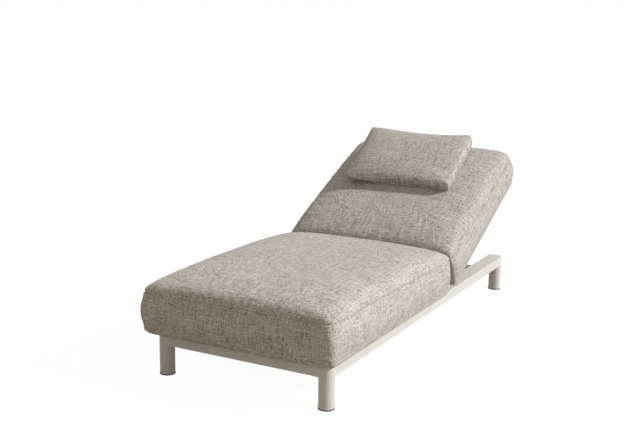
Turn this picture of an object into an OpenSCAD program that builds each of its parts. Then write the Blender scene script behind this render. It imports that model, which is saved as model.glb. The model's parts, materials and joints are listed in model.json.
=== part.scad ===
// Upholstered spa relaxation lounger on a powder-coated aluminium frame.
// The back is carried by two swing arms and by two shoes that slide in the side rails.
// +Z is up, +Y runs to the head end, and the floor is z = 0.

/* [Frame] */
// Length of the frame over the legs
frame_l = 1980; // [1700:10:2200]
// Width of the frame over the legs
frame_w = 800; // [700:5:1000]
// Width of the rail tube
rail_w = 78; // [60:1:100]
// Height of the rail tube
rail_h = 48; // [42:1:70]
// Wall of the rail tube
rail_wall = 3; // [2:0.5:5]
// Radius along the edges of the rail tube
rail_edge_r = 3; // [1:0.5:6]
// Height of the rails above the floor
rail_under = 130; // [90:1:220]
// Height of the low crossbars
crossbar_h = 18; // [12:1:18]
// Width of the crossbars
crossbar_w = 40; // [30:1:60]
// Wall of the crossbars
crossbar_wall = 2; // [1.5:0.5:4]
// Distance from the rear end of the frame to the rear crossbar
rear_crossbar_inset = 169; // [100:1:260]

/* [Legs] */
// Diameter of the leg tube, also the rounding of the frame's corners
leg_d = 63; // [40:1:76]
// Wall of the leg tube
leg_wall = 3; // [2:0.5:5]
// Thickness of the plate that closes the top of a leg
leg_plate_t = 5; // [4:0.5:8]
// Diameter of the glide under a leg
glide_d = 66; // [64:1:80]
// Thickness of the glide's foot
glide_t = 4; // [3:0.5:10]
// Height of the glide's plug inside the leg
glide_plug_h = 22; // [10:1:40]
// Diameter of the bolt that holds a leg
leg_bolt_d = 10; // [8:1:12]

/* [Seat] */
// Thickness of the seat cushion at its crown
seat_cushion_t = 254; // [242:1:265]
// How far the cushions' seams stand out past each side of the frame
side_overhang = 33; // [5:1:60]
// How far the seat cushion stands out past the front rail
front_overhang = 49; // [10:1:90]
// Distance from the flat back's glide bar to the rear face of the seat cushion
seat_rear_gap = 34; // [32:1:60]
// Number of seat slats
seat_slats_n = 9; // [5:1:12]
// Width of a slat
slat_w = 60; // [40:1:76]
// Thickness of a slat
slat_t = 12; // [8:1:12]
// Wall of a slat
slat_wall = 1.5; // [1:0.5:2]

/* [Back] */
// Thickness of the back cushion at its crown
back_cushion_t = 252; // [242:1:262]
// How far the back cushion stands out past the back frame
back_overhang = 43; // [20:1:70]
// Distance from the glide bar to the lower end of the back cushion
back_cushion_start = 27; // [25:1:50]
// How far the back cushion lies left of the middle
back_cushion_left = 5; // [0:1:10]
// Length of the back frame above the glide bar
back_frame_l = 885; // [870:1:910]
// Width of the back frame's tubes
back_tube_w = 25; // [20:1:30]
// Height of the back frame's tubes
back_tube_h = 28; // [28:1:30]
// Wall of the back frame's tubes
back_tube_wall = 2; // [1.5:0.5:3]
// Number of back slats
back_slats_n = 7; // [4:1:7]
// Distance from the glide bar to the middle of the first back slat
back_slat_start = 130; // [128:1:134]
// Gap between the last back slat and the back frame's top tube
back_slat_gap = 25; // [20:1:60]

/* [Recline] */
// Stop that the back stands on, 0 is flat
back_stop = 1; // [0:1:4]
// Distance between a swing arm's two pivots
arm_l = 200; // [190:1:205]
// Distance from the rear end of the frame to the swing arms' lower pivot
arm_inset = 425; // [415:1:430]
// Width of a swing arm
arm_w = 28; // [24:1:28]
// Thickness of a swing arm
arm_t = 8; // [5:1:8]
// Diameter of the pivot bolts
pivot_d = 12; // [8:1:12]
// Diameter of the glide bar that joins the two shoes
glide_bar_d = 14; // [10:1:14]
// Length of a slide shoe
shoe_l = 38; // [30:1:44]
// Height of a slide shoe
shoe_h = 19; // [18:0.5:20]
// Reach of the leaf pawl from the glide bar to its tip
pawl_reach = 34; // [30:1:36]
// Height of a rack tooth
tooth_h = 8; // [6:0.5:9]
// Length of the slope of a rack tooth
tooth_run = 22; // [16:1:26]

/* [Pillow] */
// Width of the head pillow between the corners of its seam
pillow_w = 568; // [400:1:620]
// Height of the head pillow along the back, between the corners of its seam
pillow_l = 446; // [300:1:470]
// Thickness of the head pillow over the back cushion
pillow_t = 92; // [75:1:120]
// Distance from the head end of the back cushion to the upper edge of the head pillow
pillow_down = 61; // [40:1:160]
// How far the head pillow lies left of the back cushion's middle
pillow_left = 17; // [0:1:60]
// How far the head pillow is turned on the back, in degrees
pillow_turn = 2.7; // [-6:0.1:6]
// How much higher the pillow's left corners lie than its right ones
pillow_tilt = 38; // [0:1:50]
// How much higher the pillow's upper corners lie than its lower ones
pillow_rise = 32; // [0:1:60]

/* [Cushion make] */
// Height of the boxing up to the sewn seam at the cushions' corners
boxing_h = 178; // [120:1:190]
// How much higher the seam stands between the corners
seam_bow = 10; // [0:1:14]
// How far the seat cushion's seam falls towards the back
seat_seam_fall = 9; // [0:1:16]
// How far the back cushion's seam falls towards the head end
back_seam_fall = 6; // [0:1:12]
// Rise of the roll above the seam
top_roll = 26; // [15:1:40]
// Width of the roll along the top edges
roll_run = 38; // [25:1:80]
// Radius along the bottom edges
bottom_roll = 28; // [15:1:40]
// Radius of the cushions' upright corners
corner_r = 16; // [8:1:40]
// Radius of the back cushion's corners at the head end
head_corner_r = 44; // [8:1:60]
// How far the boxing swells between its seams
belly = 11; // [0:0.5:18]
// How far the two ends that face each other swell
end_belly = 2; // [0:0.5:3]
// Depth of the groove along the sewn seam
seam_depth = 2.5; // [0:0.5:4]
// Thickness of cover and wadding over the foam core
wadding_t = 42; // [30:1:55]

/* [Hidden] */
$fn = 64;

// Clearances
cut = 1;                // overrun of a cut past the face that it opens
soft_gap = 0.3;         // between a cushion and what carries it
run_gap = 0.05;         // round a pivot or bar that turns
fit_gap = 0.3;          // round a plug or between loose faces
side_gap = 0.5;         // beside a part that slides or swings

// Frame
rail_top = rail_under + rail_h;
rail_x = frame_w / 2 - rail_w;          // inner face of a side rail
frame_y = frame_l / 2;
leg_x = frame_w / 2 - leg_d / 2;
leg_y = frame_l / 2 - leg_d / 2;
crossbar_top = rail_under + crossbar_h;
seat_crossbar_gap = 32;                 // seat crossbar in front of the cushion's rear face
rear_crossbar_y = frame_y - rear_crossbar_inset - crossbar_w / 2;
arm_y = frame_y - arm_inset;            // lower pivot of the swing arms
seat_front = -frame_y - front_overhang;
seat_rear = slide_y(0) - seat_rear_gap;
seat_cushion_l = seat_rear - seat_front;
seat_crossbar_y = seat_rear - seat_crossbar_gap - crossbar_w / 2;

// Fasteners
bolt_head_share = 1.7;                  // width of a bolt head over its shank
bolt_head_t = 7;
nut_plate_w = 30;
nut_plate_t = 6;
leg_bolt_rise = 4;                      // bolt end above its nut plate
screw_d = 4.8;
screw_head_d = 9;
screw_head_t = 2.5;
low_head_d = 20;
low_head_t = 2.4;
pivot_nut_w = 19;
pivot_nut_t = 6;
nut_gap = 2.5;                          // back slat clear of the upper pivot's nuts

// Slats and their ledges
ledge_w = 25;
ledge_t = 3;
ledge_drop = 22;
ledge_y0 = -frame_y + rail_w;
ledge_y1 = seat_crossbar_y - crossbar_w / 2;
seat_slat_pitch = (ledge_y1 - ledge_y0) / seat_slats_n;
slat_under = rail_top - slat_t;

// Recline: the arms' lower pivot, the glide bar and the arms' upper pivot stay an
// isosceles triangle, so an arm leans back by the angle that the back rises by
stop_angles = [0, 25.3, 37, 48.5, 60];
back_angle = stop_angles[back_stop];
pivot_z = rail_top - back_tube_h / 2;
function slide_y(angle) = arm_y - 2 * arm_l * cos(angle);
back_y = slide_y(back_angle);
top_angle = stop_angles[len(stop_angles) - 1];

// Places across the lounger, from the side rail inwards
track_t = 3;
track_lip = 16;                         // depth of the track's flanges
track_x = rail_x - track_t;             // inner face of the track's web
lip_x = track_x - track_lip;            // free edge of the track's flanges
washer_t = 1.5;
arm_lip_gap = 5;                        // between a swing arm and the track
arm_x1 = lip_x - arm_lip_gap;           // outer face of a swing arm
arm_x0 = arm_x1 - arm_t;
back_washer_t = 3;
back_x1 = arm_x0 - back_washer_t;       // outer face of the back frame
back_x0 = back_x1 - back_tube_w;
track_end = 8;                          // track past the shoe at each end
track_y0 = slide_y(0) - shoe_l / 2 - track_end;
track_y1 = slide_y(top_angle) + shoe_l / 2 + track_end;
track_in_h = shoe_h + 2 * fit_gap;

// Swing arms
bracket_t = 6;
bracket_x0 = arm_x1 + washer_t;
tie_d = 18;
tie_drop = 25;                          // tie tube below the line between the pivots
tie_share = 0.5;                        // place of the tie tube along the arm

// Racks and pawls
rack_base = 1;                          // rack above the underside of the rail
rack_top = pivot_z - track_in_h / 2 - track_t;
tooth_top = pivot_z - back_tube_h / 2 - side_gap;
tooth_floor = tooth_top - tooth_h;
lane_w = 11;                            // width of the toothed lane
lane_x = lip_x - arm_lip_gap + 2 * side_gap;
rack_lead = 14;                         // rack ahead of the flat pawl's tip
rack_y0 = slide_y(0) - pawl_reach - rack_lead;
rack_screw_d = 6;
rack_screw_head_d = 11;
rack_screw_head_t = 5;
rack_screw_shares = [0.06, 0.5, 0.94];
pawl_t = 1.5;
pawl_w = 8;
pawl_tip_lift = 0.6;                    // pawl tip above the floor between two teeth
collar_d = 23;
collar_gap = 1;                         // shoe collar clear of the track's flanges
buffer_d = 22;

// Back frame
tube_lead = 16;                         // side tube below the glide bar
cap_t = 2;
cap_plug_l = 15;
top_tube_inset = 3;                     // top tube below the end of the side tubes
back_slat_second = arm_l + pivot_nut_w / 2 + nut_gap + slat_w / 2;
back_slat_pitch = (back_frame_l - top_tube_inset - back_tube_w - back_slat_gap - slat_w / 2
                   - back_slat_second) / (back_slats_n - 2);
cushion_h0 = back_tube_h / 2 + soft_gap;

// Cushions
cushion_w = frame_w + 2 * side_overhang;
back_cushion_l = back_frame_l + back_overhang - back_cushion_start;
corner_steps = 4;
side_steps = 8;
crown_shares = [0.14, 0.34, 0.6, 0.88];
crown_power = [4.6, 4.2];               // how flat the crown is, across and along
swell_power = 6;                        // how flat the swollen boxing is
swell_corner = 0.5;                     // swelling that is left at a corner
corner_max_share = 0.98;                // keeps a corner smaller than its ring
corner_grow_share = 1.1;                // how much a corner opens where the top rolls in
pillow_corner_r = [20, 4, 52, 10];      // upper right, upper left, lower left, lower right
pillow_draw_in = [-3, 30, 8, 14];        // right, upper, left and lower edge
pillow_seam_share = 0.4;                // height of the pillow's seam
pillow_power = 3;                       // how flat the pillow's faces are
pillow_fill = [0.45, 0.8];              // how full the upper and lower face are near the seam
pillow_shares = [0.03, 0.08, 0.16, 0.28, 0.45, 0.66, 0.9];
pillow_travel = 50;                     // how far it can be moved up or down the back
pillow_gap = 0.35;                      // between the pillow and the back cushion
pillow_core_share = 0.6;
pillow_core_z = [20, 52];               // under and upper side of its filling over the back's crown
pillow_y = back_cushion_l / 2 - pillow_down - pillow_l / 2;

// Colours, as in the photograph
paint = [0.80, 0.80, 0.79];
cloth = [0.72, 0.68, 0.62];
foam = [0.93, 0.90, 0.78];
steel = [0.62, 0.63, 0.65];
plastic = [0.16, 0.16, 0.17];

// Places the children of a right-hand part, or mirrors them to the left
module on_side(side) {
    mirror([side < 0 ? 1 : 0, 0, 0]) children();
}

// Draws its children on both sides
module both_sides() {
    for (side = [-1, 1]) on_side(side) children();
}

// The back's own frame: y runs up the back from the glide bar
module on_back() {
    translate([0, back_y, pivot_z]) rotate([back_angle, 0, 0]) children();
}

// The swing arms' own frame: y = -arm_l is the upper pivot
module on_arm() {
    translate([0, arm_y, pivot_z]) rotate([-back_angle, 0, 0]) children();
}

// A box between two corners
module box(a, b) {
    translate(a) cube(b - a);
}

// A cylinder along X from x0 to x1
module rod_x(x0, x1, d) {
    translate([x0, 0, 0]) rotate([0, 90, 0]) cylinder(h = x1 - x0, d = d);
}

// A hexagonal nut along X
module nut_x(x0, x1, w, bore) {
    difference() {
        translate([x0, 0, 0]) rotate([0, 90, 0]) cylinder(h = x1 - x0, d = w, $fn = 6);
        rod_x(x0 - cut, x1 + cut, bore);
    }
}

// A hollow rectangular tube, open at both ends, between two corners, along X or Y
module tube_along(a, b, wall, along) {
    inset = along == 0 ? [-cut, wall, wall] : [wall, -cut, wall];
    difference() {
        box(a, b);
        box(a + inset, b - inset);
    }
}

// Frame

// The outline of a side rail seen from above, with the legs' rounding at its ends
module rail_plan() {
    round_r = leg_d / 2;
    translate([rail_x, -frame_y]) square([rail_w - round_r, frame_l]);
    translate([rail_x, -frame_y + round_r]) square([rail_w, frame_l - leg_d]);
    for (end = [-1, 1]) translate([leg_x, end * leg_y]) circle(d = leg_d);
}

// A rectangle with rounded corners, from the origin
module round_rect(w, h, r) {
    translate([r, 0]) square([w - 2 * r, h]);
    translate([0, r]) square([w, h - 2 * r]);
    for (x = [r, w - r], y = [r, h - r]) translate([x, y]) circle(r = r, $fn = 32);
}

// Places its children at each fixing screw of a rack
module at_rack_screws() {
    for (share = rack_screw_shares)
        translate([0, rack_y0 + share * (track_y1 - rack_y0), (rail_under + rack_base + rack_top) / 2])
            children();
}

module side_rail(side) {
    color(paint) on_side(side) difference() {
        intersection() {
            translate([0, 0, rail_under]) linear_extrude(rail_h) rail_plan();
            translate([rail_x, frame_y, rail_under]) rotate([90, 0, 0])
                linear_extrude(frame_l) round_rect(rail_w, rail_h, rail_edge_r);
        }
        box([rail_x + rail_wall, -leg_y, rail_under + rail_wall],
            [frame_w / 2 - rail_wall, leg_y, rail_top - rail_wall]);
        for (end = [-1, 1])
            translate([leg_x, end * (leg_y - leg_d / 4), rail_under - cut])
                cylinder(h = rail_wall + 2 * cut, d = leg_bolt_d + 2 * fit_gap);
        at_rack_screws() rod_x(rail_x - cut, rail_x + rail_wall + cut, rack_screw_d + 2 * fit_gap);
    }
}

module front_rail() {
    color(paint) difference() {
        translate([-rail_x, -frame_y, rail_under]) rotate([90, 0, 90])
            linear_extrude(2 * rail_x) round_rect(rail_w, rail_h, rail_edge_r);
        box([-rail_x - cut, -frame_y + rail_wall, rail_under + rail_wall],
            [rail_x + cut, -frame_y + rail_w - rail_wall, rail_top - rail_wall]);
    }
}

// A crossbar between the side rails, about the line y
module crossbar(y, z0, z1) {
    color(paint)
        tube_along([-rail_x, y - crossbar_w / 2, z0], [rail_x, y + crossbar_w / 2, z1],
                   crossbar_wall, 0);
}

module seat_crossbar() {
    crossbar(seat_crossbar_y, rail_under, rail_top);
}

module arm_crossbar() {
    crossbar(arm_y, rail_under, crossbar_top);
}

module rear_crossbar() {
    crossbar(rear_crossbar_y, rail_under, crossbar_top);
}

// Rubber pads that the back frame lies on when it is flat
module rest_buffers() {
    pad_top = pivot_z - back_tube_h / 2 - fit_gap;
    color(plastic) both_sides()
        translate([(back_x0 + back_x1) / 2, rear_crossbar_y, crossbar_top])
            cylinder(h = pad_top - crossbar_top, d = buffer_d);
}

// Legs

// Places its children at the bolt of each leg
module at_leg_bolts() {
    for (side = [-1, 1], end = [-1, 1])
        translate([side * leg_x, end * (leg_y - leg_d / 4), 0]) children();
}

module leg(side, end) {
    color(paint) translate([side * leg_x, end * leg_y, glide_t]) difference() {
        cylinder(h = rail_under - glide_t, d = leg_d);
        translate([0, 0, -cut])
            cylinder(h = rail_under - glide_t - leg_plate_t + cut, d = leg_d - 2 * leg_wall);
        translate([0, -end * leg_d / 4, rail_under - glide_t - leg_plate_t - cut])
            cylinder(h = leg_plate_t + 2 * cut, d = leg_bolt_d + 2 * fit_gap);
    }
}

module leg_glides() {
    color(plastic) for (side = [-1, 1], end = [-1, 1]) translate([side * leg_x, end * leg_y, 0]) {
        cylinder(h = glide_t, d = glide_d);
        cylinder(h = glide_t + glide_plug_h, d = leg_d - 2 * leg_wall - 2 * fit_gap);
    }
}

module leg_bolts() {
    head_z = rail_under - leg_plate_t - bolt_head_t;
    end_z = rail_under + rail_wall + nut_plate_t + leg_bolt_rise;
    color(steel) at_leg_bolts() translate([0, 0, head_z]) {
        cylinder(h = bolt_head_t, d = leg_bolt_d * bolt_head_share, $fn = 6);
        cylinder(h = end_z - head_z, d = leg_bolt_d);
    }
}

module leg_nut_plates() {
    color(steel) at_leg_bolts() translate([0, 0, rail_under + rail_wall]) difference() {
        translate([-nut_plate_w / 2, -nut_plate_w / 2, 0])
            cube([nut_plate_w, nut_plate_w, nut_plate_t]);
        translate([0, 0, -cut]) cylinder(h = nut_plate_t + 2 * cut, d = leg_bolt_d + 2 * run_gap);
    }
}

// Seat base

// Places its children at the middle of each seat slat
module at_seat_slats() {
    for (i = [0 : seat_slats_n - 1])
        translate([0, ledge_y0 + (i + 0.5) * seat_slat_pitch, 0]) children();
}

// Places its children at the screw through each end of each seat slat
module at_slat_screws() {
    at_seat_slats() both_sides() translate([rail_x - ledge_w / 2, 0, 0]) children();
}

module slat_ledge(side) {
    color(paint) on_side(side) difference() {
        union() {
            box([rail_x - ledge_w, ledge_y0, slat_under - ledge_t], [rail_x, ledge_y1, slat_under]);
            box([rail_x - ledge_t, ledge_y0, slat_under - ledge_drop], [rail_x, ledge_y1, slat_under]);
        }
        at_seat_slats() translate([rail_x - ledge_w / 2, 0, slat_under - ledge_t - cut])
            cylinder(h = ledge_t + 2 * cut, d = screw_d + 2 * fit_gap, $fn = 24);
    }
}

module seat_slats() {
    color(paint) at_seat_slats() difference() {
        tube_along([-rail_x + side_gap, -slat_w / 2, slat_under],
                   [rail_x - side_gap, slat_w / 2, rail_top], slat_wall, 0);
        both_sides() translate([rail_x - ledge_w / 2, 0, slat_under - cut])
            cylinder(h = slat_wall + 2 * cut, d = screw_d + 2 * run_gap, $fn = 24);
    }
}

module slat_screws() {
    color(steel) at_slat_screws() translate([0, 0, slat_under - ledge_t - screw_head_t]) {
        cylinder(h = screw_head_t, d = screw_head_d, $fn = 24);
        cylinder(h = screw_head_t + ledge_t + slat_t / 2, d = screw_d, $fn = 24);
    }
}

// Recline fittings on the frame

module arm_bracket(side) {
    color(paint) on_side(side) translate([bracket_x0, arm_y, pivot_z]) difference() {
        rotate([90, 0, 90]) linear_extrude(bracket_t) {
            circle(d = arm_w);
            translate([-arm_w / 2, crossbar_top - pivot_z]) square([arm_w, pivot_z - crossbar_top]);
        }
        rod_x(-cut, bracket_t + cut, pivot_d + 2 * run_gap);
    }
}

module arm_pivot_bolts() {
    color(steel) both_sides() translate([0, arm_y, pivot_z]) {
        rod_x(arm_x0 - low_head_t - run_gap, arm_x0 - run_gap, low_head_d);
        rod_x(arm_x0 - low_head_t / 2, bracket_x0 + bracket_t + pivot_nut_t, pivot_d);
    }
}

module arm_pivot_nuts() {
    x0 = bracket_x0 + bracket_t;
    color(steel) both_sides() translate([0, arm_y, pivot_z])
        nut_x(x0, x0 + pivot_nut_t, pivot_nut_w, pivot_d + 2 * run_gap);
}

// Nylon washers between the swing arms and their brackets
module arm_washers() {
    color(plastic) both_sides() translate([0, arm_y, pivot_z]) difference() {
        rod_x(arm_x1 + run_gap, bracket_x0, low_head_d);
        rod_x(arm_x1 - cut, bracket_x0 + cut, pivot_d + 2 * run_gap);
    }
}

// A channel on the rail's inner face that guides a shoe
module glide_track(side) {
    out_h = track_in_h + 2 * track_t;
    color(paint) on_side(side) difference() {
        box([lip_x, track_y0, pivot_z - out_h / 2], [rail_x, track_y1, pivot_z + out_h / 2]);
        box([lip_x - cut, track_y0 - cut, pivot_z - track_in_h / 2],
            [track_x, track_y1 + cut, pivot_z + track_in_h / 2]);
    }
}

// The saw teeth of a rack seen from the side: each slope rises towards the head end,
// and each upright face stops the pawl from running back
module rack_teeth() {
    floor_z = rail_under + rack_base;
    translate([rack_y0, floor_z]) square([track_y1 - rack_y0, tooth_floor - floor_z]);
    for (i = [1 : len(stop_angles) - 1]) {
        y = slide_y(stop_angles[i]) - pawl_reach - fit_gap;
        polygon([[y - tooth_run, tooth_floor], [y, tooth_floor], [y, tooth_top]]);
    }
}

module ratchet_rack(side) {
    color(plastic) on_side(side) difference() {
        union() {
            box([lane_x, rack_y0, rail_under + rack_base], [rail_x, track_y1, rack_top]);
            translate([lane_x - lane_w, 0, 0]) rotate([90, 0, 90])
                linear_extrude(lane_w + cut) rack_teeth();
        }
        at_rack_screws() {
            rod_x(lane_x - lane_w - cut, rail_x + cut, rack_screw_d + 2 * fit_gap);
            rod_x(lane_x - lane_w - cut, lane_x + rack_screw_head_t, rack_screw_head_d + 2 * fit_gap);
        }
    }
}

module rack_screws() {
    color(steel) both_sides() at_rack_screws() {
        rod_x(lane_x, lane_x + rack_screw_head_t, rack_screw_head_d);
        rod_x(lane_x, rail_x + 2 * rail_wall, rack_screw_d);
    }
}

// Swing arms

module swing_arm(side) {
    color(paint) on_side(side) on_arm() translate([arm_x0, 0, 0]) difference() {
        rotate([90, 0, 90]) linear_extrude(arm_t) {
            for (y = [0, -arm_l]) translate([y, 0]) circle(d = arm_w);
            translate([-arm_l, -arm_w / 2]) square([arm_l, arm_w]);
            translate([-arm_l * tie_share, -tie_drop]) circle(d = arm_w);
            translate([-arm_l * tie_share - arm_w / 2, -tie_drop]) square([arm_w, tie_drop]);
        }
        for (y = [0, -arm_l]) translate([0, y, 0]) rod_x(-cut, arm_t + cut, pivot_d + 2 * run_gap);
        translate([0, -arm_l * tie_share, -tie_drop]) rod_x(-cut, arm_t + cut, tie_d);
    }
}

module arm_tie_tube() {
    color(paint) on_arm() translate([0, -arm_l * tie_share, -tie_drop]) difference() {
        rod_x(-arm_x1, arm_x1, tie_d);
        rod_x(-arm_x1 - cut, arm_x1 + cut, tie_d - 2 * back_tube_wall);
    }
}

// Back frame

module back_side_tube(side) {
    color(paint) on_side(side) on_back() difference() {
        tube_along([back_x0, -tube_lead, -back_tube_h / 2], [back_x1, back_frame_l, back_tube_h / 2],
                   back_tube_wall, 1);
        rod_x(back_x0 - cut, back_x1 + cut, glide_bar_d + 2 * run_gap);
        translate([0, arm_l, 0]) rod_x(back_x0 - cut, back_x1 + cut, pivot_d + 2 * run_gap);
    }
}

module back_top_tube() {
    y1 = back_frame_l - top_tube_inset;
    color(paint) on_back()
        tube_along([-back_x0, y1 - back_tube_w, -back_tube_h / 2], [back_x0, y1, back_tube_h / 2],
                   back_tube_wall, 0);
}

module back_slats() {
    color(paint) on_back() for (i = [0 : back_slats_n - 1])
        translate([0, i == 0 ? back_slat_start : back_slat_second + (i - 1) * back_slat_pitch, 0])
            tube_along([-back_x0, -slat_w / 2, back_tube_h / 2 - slat_t],
                       [back_x0, slat_w / 2, back_tube_h / 2], slat_wall, 0);
}

// Plastic plugs in the ends of the back frame's side tubes
module tube_end_caps() {
    plug = back_tube_wall + fit_gap;
    color(plastic) both_sides() on_back() {
        box([back_x0, -tube_lead - cap_t, -back_tube_h / 2], [back_x1, -tube_lead, back_tube_h / 2]);
        box([back_x0, back_frame_l, -back_tube_h / 2], [back_x1, back_frame_l + cap_t, back_tube_h / 2]);
        box([back_x0 + plug, back_frame_l - cap_plug_l, -back_tube_h / 2 + plug],
            [back_x1 - plug, back_frame_l + cap_t / 2, back_tube_h / 2 - plug]);
    }
}

module glide_bar() {
    color(steel) on_back() rod_x(-track_x + side_gap, track_x - side_gap, glide_bar_d);
}

module back_pivot_bolts() {
    color(steel) both_sides() on_back() translate([0, arm_l, 0]) {
        rod_x(arm_x1 + run_gap, arm_x1 + run_gap + low_head_t, low_head_d);
        rod_x(back_x0 - pivot_nut_t, arm_x1 + low_head_t / 2, pivot_d);
    }
}

module back_pivot_nuts() {
    color(steel) both_sides() on_back() translate([0, arm_l, 0])
        nut_x(back_x0 - pivot_nut_t, back_x0, pivot_nut_w, pivot_d + 2 * run_gap);
}

// Nylon washers between the swing arms and the back frame
module back_washers() {
    color(plastic) both_sides() on_back() translate([0, arm_l, 0]) difference() {
        rod_x(back_x1, arm_x0 - run_gap, low_head_d);
        rod_x(back_x1 - cut, arm_x0 + cut, pivot_d + 2 * run_gap);
    }
}

// Slide shoes and pawls, which stay level while the back tilts

module slide_shoe(side) {
    color(plastic) on_side(side) translate([0, back_y, pivot_z]) difference() {
        union() {
            box([lip_x, -shoe_l / 2, -shoe_h / 2], [track_x - side_gap, shoe_l / 2, shoe_h / 2]);
            rod_x(back_x1 + side_gap, lip_x - collar_gap, collar_d);
            rod_x(lip_x - 2 * collar_gap, lip_x + collar_gap, shoe_h);
        }
        rod_x(back_x1 - cut, track_x + cut, glide_bar_d + 2 * run_gap);
    }
}

// A leaf spring that clicks over the rack's teeth
module leaf_pawl(side) {
    start_z = pivot_z - collar_d / 2 - fit_gap;
    tip_z = tooth_floor + pawl_tip_lift;
    x0 = lane_x - lane_w + (lane_w - pawl_w) / 2;
    color(steel) on_side(side) translate([x0, back_y, 0]) rotate([90, 0, 90]) linear_extrude(pawl_w)
        polygon([[0, start_z], [-pawl_reach, tip_z + pawl_t], [-pawl_reach, tip_z],
                 [0, start_z - pawl_t]]);
}

// Cushions

// How near a point is to the sides, 0 in the middle and 1 on the outline
function near(x, half) = min(1, abs(x) / half);

// Swells a point of an outline between its corners: across, at the head and at the foot
function swollen(p, hw, hl, out) = [
    p[0] * (1 + out[0] / hw * (1 - swell_corner * pow(near(p[1], hl), swell_power))),
    p[1] * (1 + out[p[1] > 0 ? 1 : 2] / hl * (1 - swell_corner * pow(near(p[0], hw), swell_power)))
];

// Draws a point of an outline in between the corners
function drawn(p, hw, hl, pull) = [
    p[0] * (1 - pull[p[0] > 0 ? 0 : 2] / hw * (1 - pow(near(p[1], hl), 2))),
    p[1] * (1 - pull[p[1] > 0 ? 1 : 3] / hl * (1 - pow(near(p[0], hw), 2)))
];

// The point of a rounded rectangle at corner q, turned by an angle
function corner_point(q, angle, hw, hl, r) = [
    (q == 0 || q == 3 ? 1 : -1) * (hw - r) + r * cos(angle),
    (q < 2 ? 1 : -1) * (hl - r) + r * sin(angle)
];

// The outline of a rectangle with a radius for each corner
function outline(hw, hl, r) = [
    for (q = [0 : 3])
        let (a0 = 90 * q, a1 = 90 * (q + 1), next = (q + 1) % 4,
             from = corner_point(q, a1, hw, hl, r[q]), to = corner_point(next, a1, hw, hl, r[next]))
            each concat(
                [for (k = [0 : corner_steps])
                    corner_point(q, a0 + 90 * k / corner_steps, hw, hl, r[q])],
                [for (j = [1 : side_steps - 1]) from + (to - from) * j / side_steps])
];

// The outline at an inset, whose corners open as it moves in
function inset_outline(hw, hl, corners, inset) =
    let (rw = hw - inset, rl = hl - inset)
        outline(rw, rl, [for (r = corners)
            min(r + inset * corner_grow_share, min(rw, rl) * corner_max_share)]);

// Height that the crown adds at a point, as a share of its full height
function crown_at(p, hw, hl, power) =
    (1 - pow(near(p[0], hw), power[0])) * (1 - pow(near(p[1], hl), power[1]));

// Height that the seam adds to its height at the corners
function seam_lift(p, hw, hl, fall) =
    seam_bow * (1 - pow(near(p[0], hw) * near(p[1], hl), 2)) - fall / 2 * p[1] / hl;

// Height of a level cushion's upper face over its base, inside the roll along its edges
function face_at(p, hw, hl, dome) =
    boxing_h + top_roll + seam_lift(p, hw, hl, 0) + dome * crown_at(p, hw, hl, crown_power);

// Rows up a boxed cushion: inset, height, share of the swelling, share of the crown
function boxed_rows(hw) =
    let (side_h = boxing_h - bottom_roll, edge = boxing_h + seam_depth)
        concat(
            [for (k = [0 : 3])
                let (a = 30 * k) [bottom_roll * (1 - sin(a)), bottom_roll * (1 - cos(a)), 0, 0]],
            [for (k = [1 : 3]) [0, bottom_roll + side_h * k / 4, sin(45 * k), 0]],
            [[0, boxing_h - seam_depth, 0, 0], [seam_depth, boxing_h, 0, 0], [0, edge, 0, 0]],
            [for (k = [1 : 4])
                let (a = 22.5 * k)
                    [roll_run * (1 - cos(a)), edge + (top_roll - seam_depth) * sin(a), 0, 1]],
            [for (s = crown_shares) [roll_run + (hw - roll_run) * s, boxing_h + top_roll, 0, 1]]);

// The rings of a boxed cushion; out is its swelling across, at the head and at the foot
function boxed_rings(hw, hl, corners, rows, dome, fall, out) = [
    for (row = rows) [
        for (p = inset_outline(hw, hl, corners, row[0]))
            let (q = swollen(p, hw, hl, out * row[2]))
                [q[0], q[1], row[1] + seam_lift(p, hw, hl, fall) * min(1, row[1] / boxing_h)
                 + row[3] * dome * crown_at(p, hw, hl, crown_power)]
    ]
];

// A point of the pillow on the back: p on the pillow, z over its seam. Its lower face lies on
// the back cushion's crown, with room for the pillow to be moved along the back
function on_crown(p, z) =
    let (x = -pillow_left + p[0] * cos(pillow_turn) - p[1] * sin(pillow_turn),
         y = pillow_y + p[0] * sin(pillow_turn) + p[1] * cos(pillow_turn),
         seam_z = back_cushion_t + pillow_t * pillow_seam_share
                  - p[0] / pillow_w * pillow_tilt + p[1] / pillow_l * pillow_rise,
         crown_z = face_at([x, max(0, abs(y) - pillow_travel)], cushion_w / 2, back_cushion_l / 2,
                           back_cushion_t - boxing_h - seam_bow - top_roll)
                   - back_seam_fall * (y - pillow_travel) / back_cushion_l)
        [x, y, max(seam_z + z, crown_z + pillow_gap)];

// The rings of a knife-edged pillow's face, from the seam inwards; depth is below 0 for the lower one
function pillow_face(depth) = [
    for (s = pillow_shares) [
        for (p = inset_outline(pillow_w / 2, pillow_l / 2, pillow_corner_r, s * pillow_l / 2))
            let (hw = pillow_w / 2, hl = pillow_l / 2, q = drawn(p, hw, hl, pillow_draw_in),
                 full = crown_at(p, hw, hl, [pillow_power, pillow_power]))
                on_crown(q, depth * pow(full, pillow_fill[depth > 0 ? 0 : 1]))
    ]
];

function pillow_rings() =
    let (hw = pillow_w / 2, hl = pillow_l / 2, under = pillow_face(-pillow_t))
        concat([for (k = [len(under) - 1 : -1 : 0]) under[k]],
               [[for (p = outline(hw, hl, pillow_corner_r)) on_crown(drawn(p, hw, hl, pillow_draw_in), 0)]],
               pillow_face(pillow_t * (1 - pillow_seam_share)));

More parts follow.
